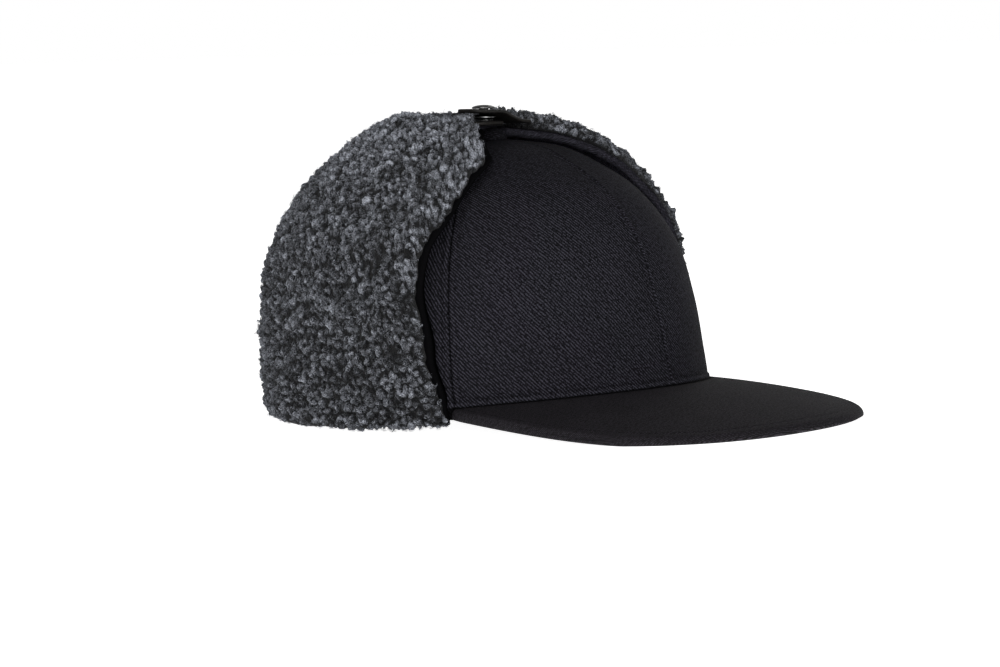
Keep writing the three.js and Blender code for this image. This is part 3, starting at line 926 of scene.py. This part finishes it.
def peak():
    """The peak's cloth, over its upper and lower faces and round its outer edge."""
    across, out = peak_grid()
    inner, outer = peak_edges(across)
    level = mix(inner[..., :2], outer, out[..., None])
    x, y = level[..., 0], level[..., 1]
    reach = np.linalg.norm(outer - inner[..., :2], axis=-1)
    from_edge = (1 - out) * reach
    half = PEAK_THICKNESS / 2
    rounding = half * (1 - quarter_round(from_edge, half))
    upper = peak_height(x, y) - rounding
    bottom = np.maximum(peak_height(x, y) - PEAK_THICKNESS, 0)
    lower = np.minimum(bottom + rounding, upper)

    stitch = -PEAK_STITCH_DEPTH * hump(from_edge, PEAK_STITCH_AT, PEAK_STITCH_WIDTH)
    tilted = inner + [0, 0, PEAK_WAVE_TILT] * across[..., None]
    unevenness = waves(tilted, PEAK_WAVE_LENGTH, PEAK_WAVE_HEIGHT, PEAK_WAVE_SEED)
    top = np.concatenate([level, (upper + stitch + unevenness)[..., None]], -1)
    base = np.concatenate([level, lower[..., None]], -1)
    outward = unit(outer - inner[..., :2])
    cloths = [level + outward * (peak_height(x, y) - face)[..., None] for face in (upper, lower)]
    # Painted shade in the crease where the peak meets the crown.
    crease = CREASE_SHADE * (1 - smoothstep(out * reach, *PEAK_CREASE_FADE))
    make_object(
        "peak_cover",
        in_turn(top, base),
        shell_faces(*across.shape)[:, ::-1],
        CLOTHS["peak_cloth"],
        uvs=in_turn(*cloths),
        values={"shade": [crease, crease]},
        node="peak",
    )


# Flaps


def flap_backing(side, mirror):
    """The flap's cloth, from its back seam to its front edge. mirror is -1 for the wearer's left one."""
    columns = np.linspace(1, 0, at_detail(FLAP_COLUMNS))
    across, rise = np.meshgrid(columns, np.linspace(0, 1, at_detail(FLAP_ROWS)))
    from_edge = np.minimum(across * FLAP_WIDTH, (1 - rise) * FLAP_HEIGHT)
    stitch = FLAP_STITCH_DEPTH * hump(from_edge, FLAP_STITCH_AT, FLAP_STITCH_WIDTH)
    roll = look_up(HEM_ROLL, "rise", side, rise) * (1 - smoothstep(from_edge, 0, HEM_ROLL_WIDTH))
    outer = flap_point(across, rise, BACKING_THICKNESS - stitch)
    inner = flap_point(across, rise, stitch - roll)
    uvs = np.stack([-across * FLAP_WIDTH, rise * FLAP_HEIGHT], -1)
    # Painted shade: the outer face is dark all over, the inner face only near its edge.
    near_edge = 1 - smoothstep(from_edge, *HEM_FADE[side])
    make_object(
        "flap_cloth_" + side,
        in_turn(outer, inner) * [mirror, 1, 1],
        shell_faces(*across.shape)[:, ::mirror],
        CLOTHS["backing_cloth"],
        uvs=in_turn(uvs, uvs + HEM_ROLL_WIDTH),
        values={"shade": HEM_SHADE[side] * np.array([np.ones(across.shape), near_edge])},
        node="flap_backing_" + side,
    )


def fleece_grid(seed):
    """Places over a flap's pile, from the back seam to its front edge, with both edges a little ragged."""
    top = 1 - TOP_HEM_WIDTH / FLAP_HEIGHT
    rows = np.linspace(0, top, at_detail(FLEECE_ROWS))
    from_seam, rise = np.meshgrid(np.linspace(0, 1, at_detail(FLEECE_COLUMNS)), rows)
    front = look_up(SHOWN_HEM, "rise", "width", rise) / FLAP_WIDTH
    across = 1 - from_seam * (1 - front)
    cloth = np.stack([across * FLAP_WIDTH, rise * FLAP_HEIGHT, 0 * rise], -1)
    ragged = waves(cloth, RAGGED_LENGTH, 1, seed)
    across = across + RAGGED_DEPTH / FLAP_WIDTH * ragged * smoothstep(from_seam, *RAGGED_FRONT)
    rise = rise + RAGGED_DEPTH / FLAP_HEIGHT * ragged * smoothstep(rise, *RAGGED_TOP)
    border = np.minimum((across - front) * FLAP_WIDTH, (top - rise) * FLAP_HEIGHT)
    return across, rise, border


def neighbour_cells(cell):
    steps = (-1, 0, 1)
    return ((cell[0] + i, cell[1] + j, cell[2] + k) for i in steps for j in steps for k in steps)


def scatter(points, weights, spacing, chance):
    """Indices of grid points, picked at random no closer together than the spacing."""
    count = min(len(points), int(weights.sum() * TUFT_TRIES / spacing**2))
    tries = chance.choice(len(points), size=count, replace=False, p=weights / weights.sum())
    cells = {}
    kept = []
    for index in tries:
        cell = tuple((points[index] // spacing).astype(int))
        others = [cells[near] for near in neighbour_cells(cell) if near in cells]
        gaps = np.linalg.norm(points[others] - points[index], axis=-1)
        if (gaps >= spacing).all():
            cells[cell] = index
            kept.append(index)
    return np.array(kept)


def blend_tufts(points, tufts, tones, heights):
    """Height and tone of the tufts at each point: the tuft it lies on, blended with its nearest neighbours.
    Most neighbours have a gap between them, and some run into each other."""
    tree = kdtree.KDTree(len(tufts))
    for number, tuft in enumerate(tufts):
        tree.insert(tuft, number)
    tree.balance()
    found = [tree.find_n(point, TUFT_NEIGHBOURS) for point in points]
    numbers = np.array([[hit[1] for hit in hits] for hits in found])
    distances = np.array([[hit[2] for hit in hits] for hits in found])
    dome = np.exp(-((distances / TUFT_RADIUS) ** 2))
    weight = dome**TUFT_SHARPNESS / (dome**TUFT_SHARPNESS).sum(axis=1, keepdims=True)
    joined = (numbers[:, 0] + numbers[:, 1]) % TUFTS_JOINED_EVERY == 0
    valley = np.where(joined, 1, smoothstep(distances[:, 1] - distances[:, 0], *TUFT_GAP))
    height = (weight * dome * heights[numbers]).sum(axis=1) * valley
    return height, (weight * tones[numbers]).sum(axis=1)


def pile_surface(side, across, rise):
    """The pile's outer face without its tufts."""
    edge, body = (look_up(FLEECE_SWELL, "rise", part + side, rise) for part in ("edge_", "body_"))
    swell = mix(edge, body, smoothstep(across, *SWELL_EDGE))
    thickness = (FLEECE_THICKNESS - PILE_DROP + swell) * fleece_fullness(across, rise)
    return flap_point(across, rise, BACKING_THICKNESS + CLEARANCE + thickness)


def open_shell(rows, columns):
    """Faces of a sheet's upper grid and of its walls, and the points that they use."""
    faces = shell_faces(rows, columns)
    grid_faces = (rows - 1) * (columns - 1)
    kept = np.concatenate([faces[:grid_faces], faces[2 * grid_faces :]])
    used = np.unique(kept)
    renumber = np.zeros(2 * rows * columns, int)
    renumber[used] = np.arange(len(used))
    return renumber[kept], used


def flap_fleece(side, mirror, seed):
    """The flap's pile, and the roots, normals, tones and heights of its tufts."""
    chance = np.random.default_rng(seed)
    across, rise, border = fleece_grid(seed)
    base = pile_surface(side, across, rise)
    flat = base.reshape(-1, 3)
    normals = grid_normals(base).reshape(-1, 3)
    area = np.linalg.norm(np.cross(np.gradient(base, axis=1), np.gradient(base, axis=0)), axis=-1)

    picked = scatter(flat, area.ravel(), TUFT_SPACING, chance)
    patches = np.exp(waves(flat[picked], PATCH_LENGTH, PATCH_TONE, seed + SEED_STEPS["patches"]))
    # Painted light: the tufts are paler higher up, the wearer's right flap more than the left.
    painted_light = mix(LOW_PAINTED_LIGHT, HIGH_PAINTED_LIGHT[side], smoothstep(rise.ravel()[picked], *PAINTED_LIGHT_RISE))
    tones = painted_light * patches * chance.lognormal(*TUFT_TONE, len(picked)).clip(*TONE_LIMITS)
    heights = chance.uniform(*TUFT_HEIGHTS, len(picked))

    warps = [waves(flat, TUFT_WARP_LENGTH, TUFT_WARP, seed + step) for step in SEED_STEPS["warp"]]
    tuft, tone = blend_tufts(flat + np.stack(warps, -1), flat[picked], tones, heights)
    lumps = waves(flat, LUMP_LENGTH, LUMP_HEIGHT, seed + SEED_STEPS["lumps"])
    curls = waves(flat, CURL_LENGTH, CURL_HEIGHT, seed + SEED_STEPS["curls"])
    at_floor = np.maximum(smoothstep(flat[:, 2], 0, FLOOR_EASE), LEAST_AT_FLOOR)
    at_border = smoothstep(border.ravel(), *BORDER_EASE)
    lift = ((tuft - TUFT_FOOT) * TUFT_HEIGHT + (lumps + curls)) * at_floor * at_border
    points = flat + normals * lift[:, None]
    points[:, 2] = np.maximum(points[:, 2], 0)
    points[:, 0] = np.where(across.ravel() == 1, 0, np.minimum(points[:, 0], -CLEARANCE / 2))

    under = flap_point(across, rise, BACKING_THICKNESS + CLEARANCE)
    faces, used = open_shell(*rise.shape)
    # The tufts' height is stored for painted light on them and painted shade between them.
    make_object(
        "fleece_" + side,
        in_turn(points, under)[used] * [mirror, 1, 1],
        split_faces(faces)[:, ::mirror],
        FLEECE,
        values={"painted_pile_light": np.append(tuft, 0 * tuft)[used], "tone": np.append(tone, tone)[used]},
        node="flap_fleece_" + side,
    )
    return points[picked], normals[picked], tones, heights


def fibre_paths(chance, steps, roots, normals, heights):
    """The fibres' middle lines, which wind round their tuft and climb out of it, and the way each faces."""
    normal = np.repeat(normals, FIBRES_PER_TUFT, axis=0)
    root = np.repeat(roots, FIBRES_PER_TUFT, axis=0) + chance.normal(0, FIBRE_SCATTER, normal.shape)
    facing = unit(normal + chance.normal(0, FIBRE_LEAN, normal.shape))
    side_way = unit(np.cross(facing, chance.normal(size=normal.shape)))
    other_way = np.cross(facing, side_way)
    count = len(normal)
    turn = chance.uniform(0, math.tau, count)
    wind = chance.choice([-1, 1], count) * chance.uniform(*FIBRE_WIND, count)
    radius = chance.uniform(*FIBRE_RADIUS, count)
    climb = chance.uniform(*FIBRE_CLIMB, count) * np.repeat(heights, FIBRES_PER_TUFT)
    start = chance.uniform(*FIBRE_START, count)

    angle = turn[:, None] + wind[:, None] * steps
    reach = radius[:, None] * (1 - FIBRE_CLOSING * steps)
    height = start[:, None] + climb[:, None] * np.sin(steps * math.pi * FIBRE_ARCH)
    path = (
        root[:, None]
        + side_way[:, None] * (reach * np.cos(angle))[..., None]
        + other_way[:, None] * (reach * np.sin(angle))[..., None]
        + facing[:, None] * height[..., None]
    )
    return path, facing


def fleece_fibres(side, mirror, seed, roots, normals, tones, heights):
    """Loose fibres: flat strips, narrower towards their tips, along paths round each tuft."""
    chance = np.random.default_rng(seed)
    steps = np.linspace(0, 1, FIBRE_STEPS + 1)[None, :]
    path, facing = fibre_paths(chance, steps, roots, normals, heights)
    count = len(path)
    along = unit(np.gradient(path, axis=1))
    widths = chance.uniform(*FIBRE_WIDTHS, count)[:, None]
    half_width = FIBRE_WIDTH / 2 * (1 - FIBRE_TAPER * steps**2) * widths
    rolled = facing[:, None] + chance.normal(0, FIBRE_ROLL, (count, 1, 3))
    across = unit(np.cross(along, rolled)) * half_width[..., None]
    points = np.stack([path - across, path + across], 2)
    points[..., 2] = np.maximum(points[..., 2], 0)
    points[..., 0] = np.minimum(points[..., 0], -CLEARANCE / 2)

    starts = np.arange(count)[:, None, None] * 2 * (FIBRE_STEPS + 1)
    faces = (quad_faces(FIBRE_STEPS + 1, 2)[None] + starts).reshape(-1, 4)
    # Each fibre takes its tuft's tone, painted light included.
    tone = np.repeat(tones, FIBRES_PER_TUFT) ** FIBRE_TONE_POWER * chance.lognormal(*FIBRE_TONE, count)
    # Painted shade towards each fibre's root.
    painted_pile_light = mix(FIBRE_ROOT_PAINTED_SHADE, 1, steps)
    values = {
        "painted_pile_light": np.broadcast_to(painted_pile_light[..., None], points.shape[:-1]),
        "tone": np.broadcast_to(tone[:, None, None], points.shape[:-1]),
    }
    name = "fleece_fibres_" + side
    make_object(name, points.reshape(-1, 3) * [mirror, 1, 1], faces, FLEECE, values=values)


# Tabs and press stud


def tab_stations():
    """Shares of a tab's length, crowded at its free end. The first and last come twice, to close the ends."""
    even = np.linspace(0, 1 - TAB_ROUNDED, at_detail(TAB_STATIONS))
    from_end = (1 - np.linspace(0, 1, TAB_END_STATIONS)[1:]) ** TAB_END_CROWDING
    return np.concatenate([[0], even, 1 - TAB_ROUNDED * from_end, [1]])


def tab_section():
    """A rounded oblong, 2 across and 2 thick."""
    corners = np.linspace(0, math.tau, TAB_SIDES)
    parts = zip((np.cos(corners), np.sin(corners)), TAB_SECTION_POWERS)
    return [np.sign(part) * np.abs(part) ** power for part, power in parts]


def tab(name, rows, node):
    """A leather tab: a rounded section swept along its table, with rounded corners at its free end."""
    stations = tab_stations()
    x = spline(rows["x"], stations)
    z = spline(rows["z"], stations)
    from_free_end = np.abs(rows["x"][-1] - x)
    corner = TAB_CORNER * (1 - quarter_round(from_free_end, TAB_CORNER))
    half_width = mix(TAB_ROOT_WIDTH, TAB_END_WIDTH, stations) / 2 - corner
    edge = 1 - np.clip(from_free_end / (TAB_THICKNESS / 2), 0, 1)
    half_thick = TAB_THICKNESS / 2 * np.sqrt(1 - TAB_EDGE_THINNING * edge**2)
    half_width[[0, -1]] = 0
    half_thick[[0, -1]] = 0

    section_y, section_z = tab_section()
    across = section_y * half_width[:, None]
    level = (z + TAB_THICKNESS / 2)[:, None] + section_z * half_thick[:, None]
    points = np.stack([np.broadcast_to(x[:, None], across.shape), across, level], -1)
    faces = quad_faces(*across.shape, flip=rows["x"][-1] > rows["x"][0])
    make_object(name, points, faces, LEATHER, node=node)


def turned(name, outline, height, node):
    """A solid of revolution about the press stud's axis."""
    radius = np.array(outline["radius"], float)
    level = np.array(outline["height"], float)
    turns, rows = np.meshgrid(np.linspace(0, math.tau, STUD_SIDES), np.arange(len(radius)))
    x = STUD_X + radius[rows] * np.cos(turns)
    y = radius[rows] * np.sin(turns)
    points = np.stack([x, y, height + level[rows]], -1)
    make_object(name, points, quad_faces(*rows.shape), METAL, node=node)


# Floor and light


def make_floor():
    """A plain pale floor that runs out of sight."""
    plain = Nodes("floor").finish(
        Base_Color=grey(0.9),
        Roughness=0.9,
        Specular_IOR_Level=0,
        Emission_Color=grey(1),
        Emission_Strength=FLOOR_GLOW,
    )
    mesh = bpy.data.meshes.new("floor")
    corners = [(-1, -1), (1, -1), (1, 1), (-1, 1)]
    mesh.from_pydata([(x * FLOOR_SIZE, y * FLOOR_SIZE, 0) for x, y in corners], [], [(0, 1, 2, 3)])
    mesh.materials.append(plain)
    floor = bpy.data.objects.new("floor", mesh)
    bpy.context.scene.collection.objects.link(floor)


def make_light(name, azimuth, elevation, power):
    """A soft square light that faces the cap."""
    data = bpy.data.lights.new(name, "AREA")
    data.size = LIGHT_SIZE
    data.energy = power
    light = bpy.data.objects.new(name, data)
    away = towards(azimuth, elevation)
    light.location = Vector((0, 0, LOOK_AT_HEIGHT)) + away * LIGHT_DISTANCE
    light.rotation_euler = away.to_track_quat("Z", "Y").to_euler()
    bpy.context.scene.collection.objects.link(light)


def make_world():
    """White all round: bright behind the cap, and weaker as a light."""
    world = bpy.data.worlds.new("studio")
    world.use_nodes = True
    tree = world.node_tree
    background = tree.nodes["Background"]
    background.inputs["Color"].default_value = grey(1)
    seen = tree.nodes.new("ShaderNodeLightPath")
    strength = tree.nodes.new("ShaderNodeMapRange")
    strength.inputs["To Min"].default_value = WORLD_LIGHT
    strength.inputs["To Max"].default_value = WORLD_SEEN
    tree.links.new(seen.outputs["Is Camera Ray"], strength.inputs["Value"])
    tree.links.new(strength.outputs["Result"], background.inputs["Strength"])
    bpy.context.scene.world = world
    bpy.context.scene.view_settings.view_transform = "Standard"


make_camera()
for title, panel in PANELS.items():
    crown_panel(title, **panel)
crown_button()
peak()
for side, settings in SIDES.items():
    mirror, seed = settings["mirror"], settings["seed"]
    flap_backing(side, mirror)
    tufts = flap_fleece(side, mirror, seed)
    fleece_fibres(side, mirror, seed + SEED_STEPS["fibres"], *tufts)
tab("tab_lower", LOWER_TAB, "strap_lower")
tab("tab_upper", UPPER_TAB, "strap_upper")
turned("stud_cap", CAP_OUTLINE, STUD_ON_UPPER_TAB, "snap_cap")
turned("stud_socket", SOCKET_OUTLINE, STUD_ON_UPPER_TAB, "snap_socket")
turned("stud_post", STUD_OUTLINE, STUD_ON_LOWER_TAB, "snap_stud")
make_floor()
make_world()
for title, light in LIGHTS.items():
    make_light(title, **light)

bpy.context.view_layer.update()
